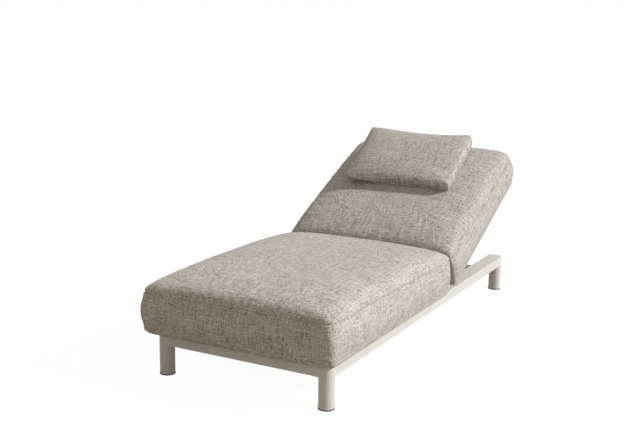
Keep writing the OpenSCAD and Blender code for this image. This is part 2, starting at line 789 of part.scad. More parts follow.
// A closed soft body through rings, with a cap at each end that rises to the point low or high
module soft_body(rings, low, high) {
    n = len(rings[0]);
    m = len(rings);
    last = m * n;
    points = concat([for (r = rings, p = r) p], [low, high]);
    faces = concat(
        [for (i = [0 : m - 2], j = [0 : n - 1])
            let (a = i * n + j, b = i * n + (j + 1) % n, c = a + n, d = b + n)
                each [[a, c, d], [a, d, b]]],
        [for (j = [0 : n - 1]) [last, j, (j + 1) % n]],
        [for (j = [0 : n - 1]) [last + 1, (m - 1) * n + (j + 1) % n, (m - 1) * n + j]]);
    polyhedron(points, faces);
}

// A block in the middle of a cushion, grown by gap on every side
module core_block(w, l, top, cover, gap) {
    box([-w / 2 + cover - gap, -l / 2 + cover - gap, cover / 2 - gap],
        [w / 2 - cover + gap, l / 2 - cover + gap, top + gap]);
}

module boxed_cushion(l, t, corners, fall, out) {
    hw = cushion_w / 2;
    dome = t - boxing_h - seam_bow - top_roll;
    difference() {
        soft_body(boxed_rings(hw, l / 2, corners, boxed_rows(hw), dome, fall, out), [0, 0, 0], [0, 0, t]);
        core_block(cushion_w, l, boxing_h, wadding_t, soft_gap);
    }
}

module at_seat_cushion() {
    translate([0, (seat_front + seat_rear) / 2, rail_top + soft_gap]) children();
}

module at_back_cushion() {
    on_back() translate([-back_cushion_left, back_cushion_start + back_cushion_l / 2, cushion_h0])
        children();
}

module seat_cushion_cover() {
    color(cloth) at_seat_cushion()
        boxed_cushion(seat_cushion_l, seat_cushion_t, [corner_r, corner_r, corner_r, corner_r],
                      seat_seam_fall, [belly, end_belly, belly]);
}

module seat_foam_core() {
    color(foam) at_seat_cushion() core_block(cushion_w, seat_cushion_l, boxing_h, wadding_t, 0);
}

module back_cushion_cover() {
    color(cloth) at_back_cushion()
        boxed_cushion(back_cushion_l, back_cushion_t,
                      [head_corner_r, head_corner_r, corner_r, corner_r], back_seam_fall,
                      [belly, belly, end_belly]);
}

module back_foam_core() {
    color(foam) at_back_cushion() core_block(cushion_w, back_cushion_l, boxing_h, wadding_t, 0);
}

// The pillow's filling, grown by gap on every side
module pillow_core(gap) {
    half = [pillow_w, pillow_l] * pillow_core_share / 2 + [gap, gap];
    translate([-pillow_left, pillow_y, back_cushion_t]) rotate([0, 0, pillow_turn])
        box([-half[0], -half[1], pillow_core_z[0] - gap], [half[0], half[1], pillow_core_z[1] + gap]);
}

module head_pillow_cover() {
    color(cloth) at_back_cushion() difference() {
        soft_body(pillow_rings(), on_crown([0, 0], -pillow_t),
                  on_crown([0, 0], pillow_t * (1 - pillow_seam_share)));
        pillow_core(soft_gap);
    }
}

module head_pillow_filling() {
    color(foam) at_back_cushion() pillow_core(0);
}

side_rail(-1);  // side_rail_left
side_rail(1);  // side_rail_right
front_rail();
seat_crossbar();
arm_crossbar();
rear_crossbar();
leg(-1, -1);  // leg_front_left
leg(1, -1);  // leg_front_right
leg(-1, 1);  // leg_rear_left
leg(1, 1);  // leg_rear_right
leg_glides();
leg_bolts();
leg_nut_plates();
slat_ledge(-1);  // slat_ledge_left
slat_ledge(1);  // slat_ledge_right
seat_slats();
slat_screws();
arm_bracket(-1);  // arm_bracket_left
arm_bracket(1);  // arm_bracket_right
arm_pivot_bolts();
arm_pivot_nuts();
arm_washers();
glide_track(-1);  // glide_track_left
glide_track(1);  // glide_track_right
ratchet_rack(-1);  // ratchet_rack_left
ratchet_rack(1);  // ratchet_rack_right
rack_screws();
rest_buffers();
seat_cushion_cover();
seat_foam_core();
swing_arm(-1);  // swing_arm_left
swing_arm(1);  // swing_arm_right
arm_tie_tube();
back_side_tube(-1);  // back_side_tube_left
back_side_tube(1);  // back_side_tube_right
back_top_tube();
back_slats();
tube_end_caps();
glide_bar();
back_pivot_bolts();
back_pivot_nuts();
back_washers();
back_cushion_cover();
back_foam_core();
slide_shoe(-1);  // slide_shoe_left
slide_shoe(1);  // slide_shoe_right
leaf_pawl(-1);  // leaf_pawl_left
leaf_pawl(1);  // leaf_pawl_right
head_pillow_cover();
head_pillow_filling();
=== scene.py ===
"""The looks of an upholstered lounger: woven cushions, a head pillow and a powder-coated frame."""

import json
import math

import bpy
import numpy as np
from mathutils import Matrix, Vector, noise


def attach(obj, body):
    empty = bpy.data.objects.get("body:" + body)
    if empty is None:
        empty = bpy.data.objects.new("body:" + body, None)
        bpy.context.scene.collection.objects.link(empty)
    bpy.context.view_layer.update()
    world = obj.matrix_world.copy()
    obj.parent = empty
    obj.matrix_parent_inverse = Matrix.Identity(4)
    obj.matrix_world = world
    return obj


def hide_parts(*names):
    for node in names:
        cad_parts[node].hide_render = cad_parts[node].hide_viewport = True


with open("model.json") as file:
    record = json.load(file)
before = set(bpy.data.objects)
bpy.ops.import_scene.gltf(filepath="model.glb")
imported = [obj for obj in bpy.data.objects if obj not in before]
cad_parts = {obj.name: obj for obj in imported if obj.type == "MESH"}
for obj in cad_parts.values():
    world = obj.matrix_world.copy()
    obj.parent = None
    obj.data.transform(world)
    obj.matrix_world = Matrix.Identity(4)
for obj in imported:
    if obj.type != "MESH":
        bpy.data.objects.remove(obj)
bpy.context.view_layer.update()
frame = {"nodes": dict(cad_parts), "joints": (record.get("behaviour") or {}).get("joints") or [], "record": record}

bl_info = {
    "name": "Spa Relaxation Lounger",
    "version": (1, 0, 0),
    "blender": (4, 5, 0),
    "location": "View3D > Sidebar > Lounger",
    "description": "Dresses a lounger's frame and makes its woven cushions and pillow",
    "category": "Add Mesh",
}


def joint(name):
    return next(row for row in frame["joints"] if row["name"] == name)


ACROSS = Vector((1, 0, 0))
BACK_UP = Vector(joint("pillow_slide")["axis"]).normalized()
BACK_OUT = ACROSS.cross(BACK_UP)
BACK_FOOT = Vector(joint("shoe_pivot")["pos_m"])
BACK_AXES = (ACROSS, BACK_UP, BACK_OUT)
SEAT_AXES = (ACROSS, Vector((0, 1, 0)), Vector((0, 0, 1)))

# Lengths in metres that go with the cushions' sizes
GROOVE = 0.0045         # from a seam to the mesh lines beside it
BASE_ROLL = 0.028       # radius of the rolled edge at a cushion's base
BACK_FALL = 0.006       # how much higher the back's seam lies at its foot than at its head
SEAT_FALL = 0.009       # the same on the seat
SWELL = 0.010           # most that the stuffing moves a cushion's cover
PILLOW_SWELL = 0.006    # most that it moves the pillow's cover
PILLOW_TRAVEL = 0.05    # how far the pillow slides each way
WEAR = 0.0016           # depth of the hollows that use leaves in a cover
WORN_FROM = 0.02        # height above a cushion's base where these begin
THREAD = 0.0011         # thickness of the sewing thread

STUFFING_FRAMES = 18


# Sizes and colours that a user would change

class LoungerWeave(bpy.types.PropertyGroup):
    """The cover's cloth."""

    light: bpy.props.FloatVectorProperty(
        name="Light yarn", description="Colour of the palest yarns", subtype="COLOR",
        size=3, min=0, max=1, default=(0.785, 0.760, 0.737))
    middle: bpy.props.FloatVectorProperty(
        name="Middle yarn", description="Colour of most yarns", subtype="COLOR",
        size=3, min=0, max=1, default=(0.560, 0.533, 0.508))
    dark: bpy.props.FloatVectorProperty(
        name="Dark yarn", description="Colour of the darkest yarns", subtype="COLOR",
        size=3, min=0, max=1, default=(0.250, 0.229, 0.208))
    pitch: bpy.props.FloatProperty(
        name="Yarn pitch", description="Distance between two yarns", unit="LENGTH",
        min=0.0005, max=0.01, default=0.0040)
    relief: bpy.props.FloatProperty(
        name="Relief", description="How far a yarn stands out", unit="LENGTH",
        min=0, max=0.002, default=0.0005)
    slub: bpy.props.FloatProperty(
        name="Slub", description="How much the thick places in the yarns show", subtype="FACTOR",
        min=0, max=1, default=0.8)


class LoungerCushions(bpy.types.PropertyGroup):
    """The shape of the stuffed pieces."""

    step: bpy.props.FloatProperty(
        name="Mesh step", description="Distance between the mesh lines of a panel", unit="LENGTH",
        min=0.006, max=0.03, default=0.012)
    boxing: bpy.props.FloatProperty(
        name="Boxing", description="Height of the sewn seam at a corner", unit="LENGTH",
        min=0.05, max=0.25, default=0.172)
    bow: bpy.props.FloatProperty(
        name="Seam bow", description="How much higher the seam stands between the corners",
        unit="LENGTH", min=0, max=0.03, default=0.010)
    roll_rise: bpy.props.FloatProperty(
        name="Roll rise", description="Rise of the roll above the seam", unit="LENGTH",
        min=0.01, max=0.06, default=0.032)
    roll_run: bpy.props.FloatProperty(
        name="Roll width", description="Width of the roll along the top edges", unit="LENGTH",
        min=0.01, max=0.08, default=0.044)
    seam_share: bpy.props.FloatProperty(
        name="Seam share", description="Share of the bow that the seam has; the roll has all of it",
        subtype="FACTOR", min=0, max=1, default=0.0)
    tuck: bpy.props.FloatProperty(
        name="Tuck", description="How far the top corners are drawn in", unit="LENGTH",
        min=0, max=0.02, default=0.005)
    belly: bpy.props.FloatProperty(
        name="Belly", description="How far the boxing swells", unit="LENGTH",
        min=0, max=0.03, default=0.011)
    end_belly: bpy.props.FloatProperty(
        name="Inner belly", description="How far the ends swell that face each other",
        unit="LENGTH", min=0, max=0.01, default=0.002)
    seam_depth: bpy.props.FloatProperty(
        name="Seam depth", description="Depth of the groove at a seam", unit="LENGTH",
        min=0, max=0.008, default=0.0055)
    welt: bpy.props.FloatProperty(
        name="Welt", description="How far the seam allowance stands out below the groove",
        unit="LENGTH", min=0, max=0.005, default=0.0036)
    pressure: bpy.props.FloatProperty(
        name="Stuffing", description="Pressure of the stuffing on the cover",
        min=0, max=20, default=4.0)
    slack: bpy.props.FloatProperty(
        name="Slack", description="How much larger the cover is cut than its foam", subtype="FACTOR",
        min=0, max=0.1, default=0.012)
    stitch: bpy.props.FloatProperty(
        name="Stitch", description="Distance from one stitch to the next", unit="LENGTH",
        min=0.003, max=0.02, default=0.0065)


class LoungerFrame(bpy.types.PropertyGroup):
    """The frame's finish."""

    paint: bpy.props.FloatVectorProperty(
        name="Powder coat", description="Colour of the powder coat", subtype="COLOR",
        size=3, min=0, max=1, default=(0.558, 0.547, 0.520))
    plastic: bpy.props.FloatVectorProperty(
        name="Nylon", description="Colour of glides, shoes and caps", subtype="COLOR",
        size=3, min=0, max=1, default=(0.030, 0.029, 0.028))


class LoungerStage(bpy.types.PropertyGroup):
    """Camera and light."""

    place: bpy.props.FloatVectorProperty(
        name="Camera", description="Where the camera stands", subtype="TRANSLATION",
        size=3, default=(2.070122, -4.202564, 1.519875))
    turn: bpy.props.FloatProperty(
        name="Turn", description="Camera heading, from the head end to the left", subtype="ANGLE",
        default=math.radians(28.36009))
    pitch: bpy.props.FloatProperty(
        name="Pitch", description="How far the camera looks down", subtype="ANGLE",
        default=math.radians(11.74996))
    roll: bpy.props.FloatProperty(
        name="Roll", description="Camera roll", subtype="ANGLE", default=math.radians(0.82268))
    lens: bpy.props.FloatProperty(
        name="Lens", description="Focal length in millimetres", min=10, max=300, default=58.533)
    key: bpy.props.FloatProperty(
        name="Key light", description="Strength of the light from the right", min=0, default=3.75)
    key_from: bpy.props.FloatVectorProperty(
        name="Key from", description="Direction that the key light comes from", subtype="XYZ",
        size=3, default=(0.80, 0.28, 0.53))
    sky: bpy.props.FloatProperty(
        name="Sky", description="Strength of the light from all round", min=0, default=0.465)
    shadow: bpy.props.FloatProperty(
        name="Shadow", description="How much of its shadow the floor shows", subtype="FACTOR",
        min=0, max=1, default=0.10)


# Shader maths

class Wire:
    """A socket's output that Python's operators can be used on."""

    def __init__(self, graph, socket):
        self.graph = graph
        self.socket = socket

    def _math(self, operation, *values):
        return self.graph.node("ShaderNodeMath", {"operation": operation},
                               dict(enumerate(values)))

    def __add__(self, other):
        return self._math("ADD", self, other)

    def __sub__(self, other):
        return self._math("SUBTRACT", self, other)

    def __mul__(self, other):
        return self._math("MULTIPLY", self, other)

    def __truediv__(self, other):
        return self._math("DIVIDE", self, other)

    def __gt__(self, other):
        return self._math("GREATER_THAN", self, other)

    def floor(self):
        return self._math("FLOOR", self)

    def fract(self):
        return self._math("FRACT", self)

    def cos(self):
        return self._math("COSINE", self)

    def remap(self, low, high, to_low=0.0, to_high=1.0):
        """Moves low to high onto to_low to to_high, eased and clamped."""
        return self.graph.node(
            "ShaderNodeMapRange", {"interpolation_type": "SMOOTHSTEP"},
            {"Value": self, "From Min": low, "From Max": high,
             "To Min": to_low, "To Max": to_high})


class Graph:
    """The nodes of one material or world."""

    def __init__(self, owner):
        owner.use_nodes = True
        self.tree = owner.node_tree
        self.tree.nodes.clear()

    def node(self, kind, settings=None, values=None, output=0):
        """Adds a node: its settings first, then the values or wires of its sockets."""
        made = self.tree.nodes.new(kind)
        for name, value in (settings or {}).items():
            if name == "stops":
                ramp = made.color_ramp
                while len(ramp.elements) < len(value):
                    ramp.elements.new(0.5)
                for element, (place, colour) in zip(ramp.elements, value):
                    element.position = place
                    element.color = colour
            else:
                setattr(made, name, value)
        for key, value in (values or {}).items():
            socket = made.inputs[key]
            if isinstance(value, Wire):
                self.tree.links.new(value.socket, socket)
            else:
                socket.default_value = value
        return Wire(self, made.outputs[output])

    def vector(self, x, y, z):
        return self.node("ShaderNodeCombineXYZ", None, {0: x, 1: y, 2: z})

    def noise(self, vector, scale=1.0, detail=2.0, rough=0.5):
        return self.node("ShaderNodeTexNoise", None,
                         {"Vector": vector, "Scale": scale, "Detail": detail, "Roughness": rough})

    def mix(self, factor, a, b):
        """Colour a where factor is 0 and b where it is 1."""
        return self.node("ShaderNodeMix", {"data_type": "RGBA"}, {0: factor, 6: a, 7: b}, 2)

    def multiplied(self, a, b):
        """Colour a times colour b."""
        return self.node("ShaderNodeMix", {"data_type": "RGBA", "blend_type": "MULTIPLY"},
                         {0: 1.0, 6: a, 7: b}, 2)

    def number(self, factor, a, b):
        """Number a where factor is 0 and b where it is 1."""
        return self.node("ShaderNodeMix", None, {0: factor, 2: a, 3: b})

    def bump(self, height, distance, strength, normal=None):
        values = {"Height": height, "Distance": distance, "Strength": strength}
        if normal is not None:
            values["Normal"] = normal
        return self.node("ShaderNodeBump", None, values)

    def finish(self, shader, kind="ShaderNodeOutputMaterial"):
        out = self.tree.nodes.new(kind)
        self.tree.links.new(shader.socket, out.inputs[0])


def colour(rgb, gain=1.0):
    """An RGBA colour from three numbers."""
    return (*[min(1.0, c * gain) for c in rgb], 1.0)


def material(name):
    made = bpy.data.materials.new(name)
    return made, Graph(made)


class Yarns:
    """One set of yarns of a weave. Its noises tell the yarns apart and change slowly along them."""

    PACES = (0.27, 0.03, 0.035, 0.11)

    def __init__(self, g, number, along, steps, seeds):
        """number counts the yarns; steps and seeds are those of tone, dye, slub and beat."""
        tone, dye, slub, beat = [g.vector(number * step, along * pace, seed)
                                 for step, pace, seed in zip(steps, self.PACES, seeds)]
        self.tone = g.noise(tone, 1.0, 2.0, 0.7)
        self.dye = g.noise(dye, 1.0, 1.0)
        self.slub = g.noise(slub).remap(0.60, 0.72)
        turn = (number * 0.5).fract() * 4.0 - 1.0
        self.beat = (g.noise(beat, 1.0, 1.0) - 0.4) * turn


def woven_cloth(name, weave):
    """Plain weave of mottled yarns, laid out by the mesh's own weave attribute."""
    made, g = material(name)
    place = g.node("ShaderNodeAttribute", {"attribute_name": "weave"}, None, 1)
    wander = (g.noise(place, 22.0, 1.0) - 0.5) * 1.2
    u, v = [g.node("ShaderNodeSeparateXYZ", None, {0: place}, axis) / weave.pitch + wander
            for axis in (0, 1)]
    column, row = u.floor(), v.floor()
    warp = Yarns(g, column, v, (5.31, 0.83, 0.93, 0.47), (3.0, 51.0, 21.0, 43.0))
    weft = Yarns(g, row, u, (4.73, 0.79, 0.87, 0.49), (9.0, 57.0, 33.0, 47.0))
    over = ((column + row) * 0.5).fract() > 0.25
    slub = g.number(over, weft.slub, warp.slub)
    layers = (
        ((warp.tone + weft.tone) * 0.5, 0.6),                               # both yarns
        (g.number(over, weft.tone, warp.tone), 0.4),                        # the upper yarn
        ((warp.dye + weft.dye) * 0.5, 0.6),                                 # long streaks
        (g.noise(place, 9.0, 3.0), 0.12),                                   # broad clouds
        (g.noise(g.vector(column * 3.17, row * 2.83, 87.0), 1.0, 1.0), 0.2))  # single crossings
    tone = slub * (0.14 * weave.slub) + (warp.beat + weft.beat) * 0.4 + 0.5
    for layer, share in layers:
        tone = tone + (layer - 0.5) * share
    cloth = g.node("ShaderNodeValToRGB", {"stops": [
        (0.28, colour(weave.dark)), (0.51, colour(weave.middle)), (0.74, colour(weave.light))]},
        {0: tone})
    across, along = [((line.fract() - 0.5) * math.pi).cos() for line in (u, v)]
    hill = across * along
    # Painted shade: the yarn colour is darkened towards (0.62, 0.60, 0.57) in the gaps between yarn crossings,
    # where hill is low, standing in for the shade between the yarns.
    gap_shade_colour, cool, warm = (0.62, 0.60, 0.57), (0.960, 0.990, 1.0), (1.0, 0.975, 0.950)
    painted_gap_shade = g.mix(hill.remap(0.0, 0.75), colour(gap_shade_colour), colour((1, 1, 1)))
    hue = g.noise(g.vector(column * 0.61, row * 0.57, 71.0), 1.0, 2.0, 0.7)
    tinted = g.mix(hue.remap(0.36, 0.64), colour(cool), colour(warm))
    shader = g.node("ShaderNodeBsdfPrincipled", None, {
        "Base Color": g.multiplied(g.multiplied(cloth, painted_gap_shade), tinted),
        "Roughness": 0.94, "Specular IOR Level": 0.18,
        "Sheen Weight": 0.12, "Sheen Roughness": 0.45,
        "Normal": g.bump(hill * (slub * 0.6 + 0.7), weave.relief, 0.45)})
    g.finish(shader)
    return made


def powder_coat(name, paint):
    """Satin powder coat with a fine grain and slow drifts of tone and gloss."""
    made, g = material(name)
    place = g.node("ShaderNodeTexCoord", None, None, 3)
    grain = g.noise(place, 1400.0, 2.0, 0.6)
    peel = g.noise(place, 260.0, 1.0)
    drift = g.noise(place, 5.0, 3.0)
    base = g.mix(drift.remap(0.35, 0.65), colour(paint, 0.96), colour(paint, 1.04))
    speck = g.mix(grain.remap(0.62, 0.70), base, colour(paint, 1.14))
    soft_edge = g.node("ShaderNodeBevel", {"samples": 4}, {"Radius": 0.0012})
    normal = g.bump(grain * 0.6 + peel * 0.4, 0.00012, 0.5, soft_edge)
    rough = drift.remap(0.3, 0.7, 0.42, 0.52)
    shader = g.node("ShaderNodeBsdfPrincipled", None, {
        "Base Color": speck, "Roughness": rough, "Specular IOR Level": 0.45, "Normal": normal})
    g.finish(shader)
    return made


def brushed(name, tint, rough):
    """Bare metal with fine drawn lines."""
    made, g = material(name)
    place = g.node("ShaderNodeTexCoord", None, None, 3)
    streaks = g.node("ShaderNodeMapping", None, {"Vector": place, "Scale": (400.0, 20.0, 400.0)})
    lines = g.noise(streaks, 1.0, 3.0)
    base = g.mix(lines.remap(0.3, 0.7), colour(tint, 0.86), colour(tint, 1.05))
    soft_edge = g.node("ShaderNodeBevel", {"samples": 4}, {"Radius": 0.0006})
    shader = g.node("ShaderNodeBsdfPrincipled", None, {
        "Base Color": base, "Metallic": 1.0,
        "Roughness": lines.remap(0.3, 0.7, rough * 0.8, rough * 1.25),
        "Normal": g.bump(lines, 0.00005, 0.5, soft_edge)})
    g.finish(shader)
    return made


def moulded(name, tint, rough, grain=900.0, relief=0.00015):
    """Moulded plastic, rubber or foam with a fine grain."""
    made, g = material(name)
    place = g.node("ShaderNodeTexCoord", None, None, 3)
    spots = g.noise(place, grain, 2.0, 0.7)
    drift = g.noise(place, 12.0, 2.0)
    base = g.mix(drift.remap(0.3, 0.7), colour(tint, 0.88), colour(tint, 1.12))
    shader = g.node("ShaderNodeBsdfPrincipled", None, {
        "Base Color": base, "Roughness": spots.remap(0.3, 0.7, rough * 0.9, min(1.0, rough * 1.1)),
        "Specular IOR Level": 0.35, "Normal": g.bump(spots, relief, 0.5)})
    g.finish(shader)
    return made


def thread(name, weave):
    """Twisted sewing thread in the cloth's middle colour."""
    made, g = material(name)
    place = g.node("ShaderNodeAttribute", {"attribute_name": "weave"}, None, 1)
    twist = g.noise(place, 900.0, 1.0)
    base = g.mix(twist.remap(0.35, 0.65), colour(weave.middle, 0.85), colour(weave.light, 0.9))
    shader = g.node("ShaderNodeBsdfPrincipled", None, {
        "Base Color": base, "Roughness": 0.7, "Normal": g.bump(twist, 0.0002, 0.4)})
    g.finish(shader)
    return made


# Mesh building

def extent(node, axis, origin):
    """How far a node reaches along an axis, from an origin."""
    reach = [(v.co - origin).dot(axis) for v in frame["nodes"][node].data.vertices]
    return min(reach), max(reach)


def grid_lines(half, step, band, band_step):
    """Mesh lines from -half to half, closer together near the ends."""
    near = int(round(band / band_step))
    inner = half - near * band_step
    count = max(2, int(round(2 * inner / step)))
    middle = [-inner + 2 * inner * i / count for i in range(count + 1)]
    low = [-half + band_step * i for i in range(near)]
    return low + middle + [-x for x in reversed(low)]


def box_surface(xs, ys, levels):
    """Corners and faces of the skin of a box of mesh lines, as index triples."""
    nx, ny, nz = len(xs) - 1, len(ys) - 1, levels - 1
    index = {}

    def at(i, j, k):
        return index.setdefault((i, j, k), len(index))

    faces = []
    for i in range(nx):
        for j in range(ny):
            faces.append((at(i, j, nz), at(i + 1, j, nz), at(i + 1, j + 1, nz), at(i, j + 1, nz)))
            faces.append((at(i, j, 0), at(i, j + 1, 0), at(i + 1, j + 1, 0), at(i + 1, j, 0)))
    for k in range(nz):
        for i in range(nx):
            faces.append((at(i, 0, k), at(i + 1, 0, k), at(i + 1, 0, k + 1), at(i, 0, k + 1)))
            faces.append((at(i, ny, k), at(i, ny, k + 1), at(i + 1, ny, k + 1), at(i + 1, ny, k)))
        for j in range(ny):
            faces.append((at(0, j, k), at(0, j, k + 1), at(0, j + 1, k + 1), at(0, j + 1, k)))
            faces.append((at(nx, j, k), at(nx, j + 1, k), at(nx, j + 1, k + 1), at(nx, j, k + 1)))
    return index, faces


def clamped(value):
    return max(0.0, min(1.0, value))


def crown_share(tx, ty):
    """Share of a dome's rise at shares of the way from its middle to its edges."""
    return (1 - tx ** 4.6) * (1 - ty ** 4.2)


def eased(value, low, high):
    """0 below low, 1 above high and a smooth rise between them."""
    share = clamped((value - low) / (high - low))
    return share * share * (3 - 2 * share)


def round_corner(x, y, hw, hl, radius):
    """Pulls a point on a rectangle onto the same rectangle with round corners."""
    inner_x, inner_y = hw - radius, hl - radius
    over_x, over_y = abs(x) - inner_x, abs(y) - inner_y
    if over_x <= 0 or over_y <= 0:
        return x, y
    share = max(over_x, over_y) / math.hypot(over_x, over_y)
    return math.copysign(inner_x + over_x * share, x), math.copysign(inner_y + over_y * share, y)


def mesh_object(name, points, faces):
    mesh = bpy.data.meshes.new(name)
    mesh.from_pydata([tuple(p) for p in points], [], faces)
    mesh.polygons.foreach_set("use_smooth", [True] * len(mesh.polygons))
    mesh.update()
    made = bpy.data.objects.new(name, mesh)
    bpy.context.scene.collection.objects.link(made)
    return made


def apply_modifiers(piece):
    """Replaces a piece's mesh by what its modifiers make of it."""
    graph = bpy.context.evaluated_depsgraph_get()
    mesh = bpy.data.meshes.new_from_object(piece.evaluated_get(graph))
    piece.modifiers.clear()
    piece.data = mesh
    return piece


def stuff(piece, pins, pressure, slack, cap):
    """Lets the stuffing swell a cover between its pinned seams, by no more than cap."""
    start = np.array([v.co for v in piece.data.vertices])
    group = piece.vertex_groups.new(name="pins")
    for weight in sorted(set(pins.values())):
        group.add([i for i, w in pins.items() if w == weight], weight, "REPLACE")
    cloth = piece.modifiers.new("Cloth", "CLOTH")
    s = cloth.settings
    s.quality = 6
    s.mass = 0.35
    s.tension_stiffness = 18
    s.compression_stiffness = 18
    s.shear_stiffness = 6
    s.bending_stiffness = 0.6
    s.use_pressure = True
    s.uniform_pressure_force = pressure
    s.shrink_min = -slack
    s.vertex_group_mass = "pins"
    s.pin_stiffness = 1.0
    s.effector_weights.gravity = 0
    scene = bpy.context.scene
    cloth.point_cache.frame_start = 1
    cloth.point_cache.frame_end = STUFFING_FRAMES
    for number in range(1, STUFFING_FRAMES + 1):
        scene.frame_set(number)
    apply_modifiers(piece)
    end = np.array([v.co for v in piece.data.vertices])
    move = end - start
    size = np.maximum(np.linalg.norm(move, axis=1), 1e-9)
    share = cap * np.tanh(size / cap) / size
    piece.data.vertices.foreach_set("co", (start + move * share[:, None]).ravel())
    scene.frame_set(1)
    return piece


def smooth_more(piece):
    """Divides each face of a piece into four smoother ones."""
    subdivision = piece.modifiers.new("Subdivision", "SUBSURF")
    subdivision.levels = 1
    subdivision.render_levels = 1
    return apply_modifiers(piece)


def set_weave(mesh, places):
    """Stores where each face corner lies in the cloth that it was cut from."""
    attribute = mesh.attributes.new("weave", "FLOAT_VECTOR", "CORNER")
    attribute.data.foreach_set("vector", np.asarray(places, np.float32).ravel())


# Cushions

def dome_rise(span, sizes):
    """How much a top panel rises over its rolled edge, from the cushion's span in height."""
    return span[1] - span[0] - sizes.boxing - sizes.bow - sizes.roll_rise


class BoxedCushion:
    """A boxed cushion: a domed top panel that rolls over to a seam, swollen boxing and a base."""

    def __init__(self, name, sizes, spans, ends, corners, fall):
        """spans are (low, high) over all along three axes, and ends the belly at head and foot.
        corners holds the head corners' radius, then a (base, seam) radius for each foot corner."""
        self.name = name
        self.sizes = sizes
        self.hw = (spans[0][1] - spans[0][0]) / 2 - sizes.belly
        self.hl = (spans[1][1] - spans[1][0] - ends[0] - ends[1]) / 2
        self.centre = (sum(spans[0]) / 2, (spans[1][0] + ends[1] + spans[1][1] - ends[0]) / 2)
        self.dome = dome_rise(spans[2], sizes)
        self.ends, self.corners, self.fall = ends, corners, fall
        self.roll_line = math.pi / 2 * math.sqrt((sizes.roll_rise ** 2 + sizes.roll_run ** 2) / 2)
        self.base_line = BASE_ROLL * math.pi / 2
        band = 1.05 * self.roll_line
        self.xs, self.ys = [grid_lines(half, sizes.step, band, sizes.step / 2)
                            for half in (self.hw, self.hl)]
        side = sizes.boxing - BASE_ROLL
        rows = max(6, int(round(side / sizes.step)))
        self.side_z = [BASE_ROLL + (side - GROOVE) * i / rows for i in range(rows + 1)]
        self.seam_level = len(self.side_z)
        self.side_z += [sizes.boxing, sizes.boxing + GROOVE]
        self.levels = len(self.side_z)

    def corner(self, x, y, share=1.0):
        """Radius of the corner nearest to a point; share is the height on the boxing."""
        if y > 0:
            return self.corners[0]
        low, high = self.corners[1 if x < 0 else 2]
        return low + (high - low) * share * share

    def end(self, y):
        """How far the end nearest to a point swells."""
        return self.ends[0 if y > 0 else 1]

    def open_end(self, y):
        """True at the end that doesn't face the other cushion."""
        return self.end(y) > self.sizes.end_belly

    def near(self, x, y):
        """How far out a point lies, as shares of the half width and half length."""
        return min(1.0, abs(x) / self.hw), min(1.0, abs(y) / self.hl)

    def lifted(self, x, y, z, crowned=0.0):
        """Adds the seam's bow and fall, and the crown, to a point's height."""
        s = self.sizes
        tx, ty = self.near(x, y)
        above = clamped((z - s.boxing) / s.roll_rise)
        share = s.seam_share + (1 - s.seam_share) * above
        lift = s.bow * share * (1 - (tx * ty) ** 2) - self.fall / 2 * y / self.hl
        return z + lift * min(1.0, z / s.boxing) + crowned * self.dome * crown_share(tx, ty)

    def tucked(self, x, y, z):
        """Draws a point in near a top corner."""
        tx, ty = self.near(x, y)
        pull = self.sizes.tuck * (tx * ty) ** 5 * min(1.0, z / self.sizes.boxing) ** 4
        return x - math.copysign(pull, x), y - math.copysign(pull, y)

    def inset_point(self, x, y, edge, inset, grow):
        """Moves a grid point from its ring at a distance edge to the ring at an inset."""
        hw, hl = self.hw - inset, self.hl - inset
        px, py = x * hw / (self.hw - edge), y * hl / (self.hl - edge)
        radius = min(self.corner(x, y) + inset * grow, 0.98 * min(hw, hl))
        return round_corner(px, py, hw, hl, radius)

    def roll_point(self, x, y, line, rise, run, grow):
        """A point of a flat panel whose outer band rolls over; its height is over the seam."""
        edge = min(self.hw - abs(x), self.hl - abs(y))
        if edge < line:
            angle = edge / line * math.pi / 2
            inset = run * (1 - math.cos(angle))
            return (*self.inset_point(x, y, edge, inset, grow), rise * math.sin(angle))
        least = min(self.hw, self.hl)
        inset = run + (edge - line) * (least - run) / (least - line)
        most = least * 0.9999
        return (*self.inset_point(x, y, min(edge, most), min(inset, most), grow), rise)

    def top_point(self, x, y):
        s = self.sizes
        start = self.side_z[-1]
        rise = s.boxing + s.roll_rise - start
        px, py, z = self.roll_point(x, y, self.roll_line, rise, s.roll_run, 1.1)
        return (*self.tucked(px, py, s.boxing),
                self.lifted(px, py, start + z, 1.0 if z > 0 else 0.0))

    def base_point(self, x, y):
        px, py, z = self.roll_point(x, y, self.base_line, BASE_ROLL, BASE_ROLL, 0.6)
        return px, py, BASE_ROLL - z

    def side_point(self, x, y, level):
        s = self.sizes
        z = self.side_z[level]
        px, py = round_corner(x, y, self.hw, self.hl, self.corner(x, y, min(1.0, z / s.boxing)))
        tx, ty = self.near(px, py)
        swell = math.sin(math.pi * clamped((z - BASE_ROLL) / (s.boxing - BASE_ROLL)))
        height = self.lifted(px, py, z)
        fade = 0.3 if self.open_end(y) else 0.9
        px *= 1 + s.belly / self.hw * swell * (1 - fade * ty ** 6)
        py *= 1 + self.end(y) / self.hl * swell * (1 - 0.3 * tx ** 6)
        return (*self.tucked(px, py, z), height)

    def cloth_place(self, key, side, above):
        """Where a grid corner lies in its panel's cloth; above is true over the seam."""
        i, j, k = key
        x, y = self.xs[i], self.ys[j]
        if side == "top":
            return x, y, 0.0
        if side == "base":
            return x, y, 7.0
        z = self.side_z[k]
        if side == "x":
            if above:
                return math.copysign(self.hw + self.side_z[-1] - z, x), y, 0.0
            return y, z, 3.0 if i else 2.0
        if above:
            return x, math.copysign(self.hl + self.side_z[-1] - z, y), 0.0
        return x, z, 5.0 if j else 4.0

